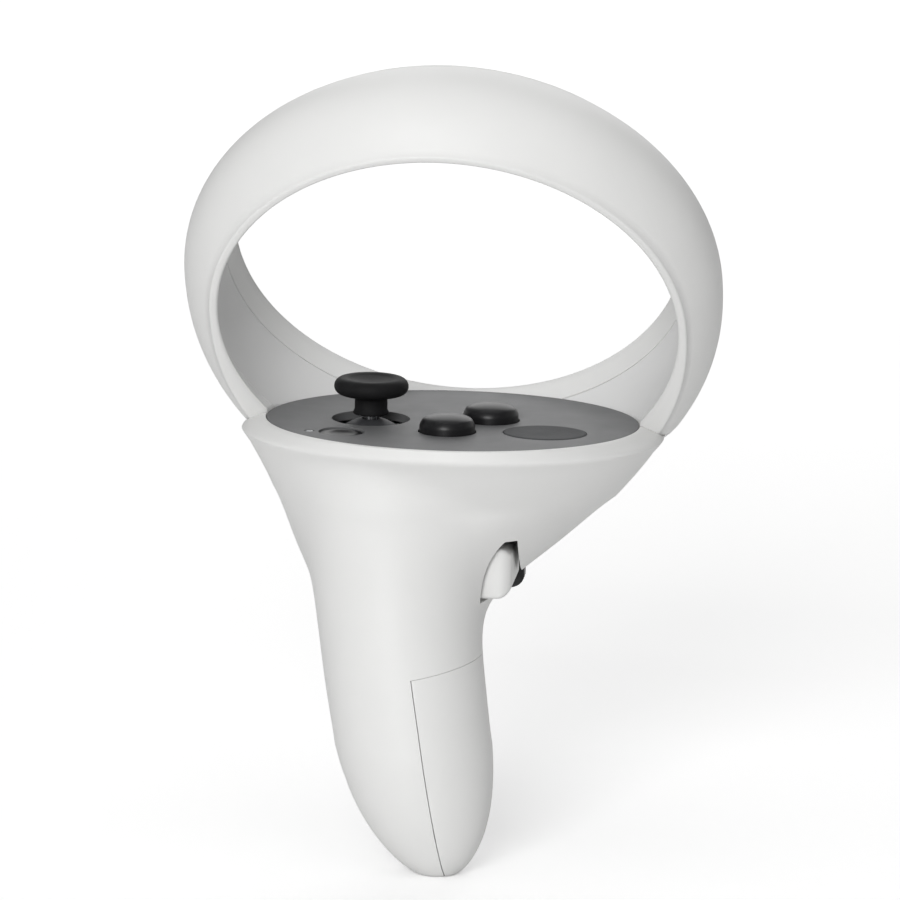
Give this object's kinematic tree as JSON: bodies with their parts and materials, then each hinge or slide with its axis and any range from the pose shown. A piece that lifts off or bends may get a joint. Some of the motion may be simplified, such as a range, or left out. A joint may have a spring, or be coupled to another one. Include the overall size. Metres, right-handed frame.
{
  "type": "vr motion controller",
  "caption": "Left-hand motion controller with a tracking ring, thumbstick, face buttons, trigger and grip paddle on a leaning handle.",
  "frame": {"origin": "middle of the hand's grip, on the handle's centreline 48 mm below the faceplate", "axes": "+Z out of the faceplate, +X to the user's right, +Y away from the user"},
  "size_m": [0.0978, 0.0692, 0.147],
  "materials": {
    "white_plastic": "satin, fine moulded grain",
    "grey_plastic": "matt, fine grain",
    "rest_plastic": "matt, finely textured",
    "black_plastic": "satin black",
    "stick_rubber": "soft matt rubber",
    "rubber": "matt silicone",
    "frame_plastic": "plain moulded",
    "steel": "bright steel",
    "contact_metal": "gold plated",
    "circuit_board": "green solder mask",
    "flex_strip": "amber film",
    "battery_label": "plain printed sleeve",
    "clear_plastic": "milky light pipe"
  },
  "bodies": {
    "casing": {"ring_outer_shell": "white_plastic", "ring_inner_cover": "white_plastic", "ring_led_flex": "flex_strip", "handle_shell": "white_plastic", "lanyard_bar": "steel", "aa_battery": "battery_label", "battery_tray": "frame_plastic", "positive_contact": "contact_metal", "negative_spring": "steel", "faceplate": "grey_plastic", "thumb_rest_pad": "rest_plastic", "status_light": "clear_plastic", "lower_button_dome": "rubber", "upper_button_dome": "rubber", "menu_button_dome": "rubber", "stick_housing": "steel", "main_circuit_board": "circuit_board", "inner_frame": "frame_plastic", "haptic_motor": "steel", "haptic_cradle": "rubber", "board_screw_1": "steel", "board_screw_2": "steel", "board_screw_3": "steel", "frame_screw_1": "steel", "frame_screw_2": "steel", "trigger_pin": "steel", "trigger_sensor_board": "circuit_board", "trigger_spring": "steel", "grip_pin": "steel", "grip_bracket": "frame_plastic", "grip_spring": "steel"},
    "stick_gimbal_ring": {"stick_gimbal": "black_plastic"},
    "stick_arch_yoke": {"stick_arch": "black_plastic"},
    "stick_lever": {"stick_shaft": "steel"},
    "stick_top": {"stick_cap": "stick_rubber", "stick_skirt": "black_plastic"},
    "lower_button": {"lower_button": "black_plastic"},
    "upper_button": {"upper_button": "black_plastic"},
    "menu_button": {"menu_button": "black_plastic"},
    "trigger": {"trigger": "black_plastic", "trigger_magnet": "steel"},
    "grip_paddle": {"grip_button": "white_plastic"},
    "battery_door": {"battery_door": "white_plastic"}
  },
  "joints": [
    {"name": "stick_side_tilt", "type": "hinge", "parent": "casing", "child": "stick_gimbal_ring", "pos_m": [-0.00911, 0.01561, 0.04], "axis": [0, 1, 0], "range_deg": [-18, 18], "stiffness_Nm_per_rad": 0.03},
    {"name": "stick_fore_tilt", "type": "hinge", "parent": "stick_gimbal_ring", "child": "stick_lever", "pos_m": [-0.00911, 0.01561, 0.04], "axis": [1, 0, 0], "range_deg": [-18, 18], "stiffness_Nm_per_rad": 0.03},
    {"name": "stick_press", "type": "slide", "parent": "stick_lever", "child": "stick_top", "axis": [0, 0, -1], "range_m": [0, 0.0005], "stiffness_N_per_m": 3000, "springref_m": -0.0001},
    {"name": "stick_arch_tilt", "type": "hinge", "parent": "casing", "child": "stick_arch_yoke", "pos_m": [-0.00911, 0.01561, 0.04], "axis": [1, 0, 0], "range_deg": [-18, 18]},
    {"name": "lower_button_press", "type": "slide", "parent": "casing", "child": "lower_button", "axis": [0, 0, -1], "range_m": [0, 0.0008], "stiffness_N_per_m": 1200, "springref_m": -0.0001, "deforming": ["lower_button_dome"]},
    {"name": "upper_button_press", "type": "slide", "parent": "casing", "child": "upper_button", "axis": [0, 0, -1], "range_m": [0, 0.0008], "stiffness_N_per_m": 1200, "springref_m": -0.0001, "deforming": ["upper_button_dome"]},
    {"name": "menu_button_press", "type": "slide", "parent": "casing", "child": "menu_button", "axis": [0, 0, -1], "range_m": [0, 0.0005], "stiffness_N_per_m": 1200, "springref_m": -0.0001, "deforming": ["menu_button_dome"]},
    {"name": "trigger_pull", "type": "hinge", "parent": "casing", "child": "trigger", "pos_m": [0.00579, 0.03121, 0.0375], "axis": [-1, 0, 0], "range_deg": [0, 15], "stiffness_Nm_per_rad": 0.08, "springref_deg": -5.73, "deforming": ["trigger_spring"]},
    {"name": "grip_squeeze", "type": "hinge", "parent": "casing", "child": "grip_paddle", "pos_m": [0.00739, 0.0198, 0.023], "axis": [0, 0, -1], "range_deg": [0, 10], "stiffness_Nm_per_rad": 0.15, "springref_deg": -5.73, "deforming": ["grip_spring"]},
    {"name": "battery_door_slide", "type": "slide", "parent": "casing", "child": "battery_door", "axis": [0.1712, -0.2356, -0.9566], "range_m": [0, 0.075]}
  ],
  "couplings": [
    {"joint": "stick_arch_tilt", "follows": "stick_fore_tilt", "ratio": 1}
  ]
}
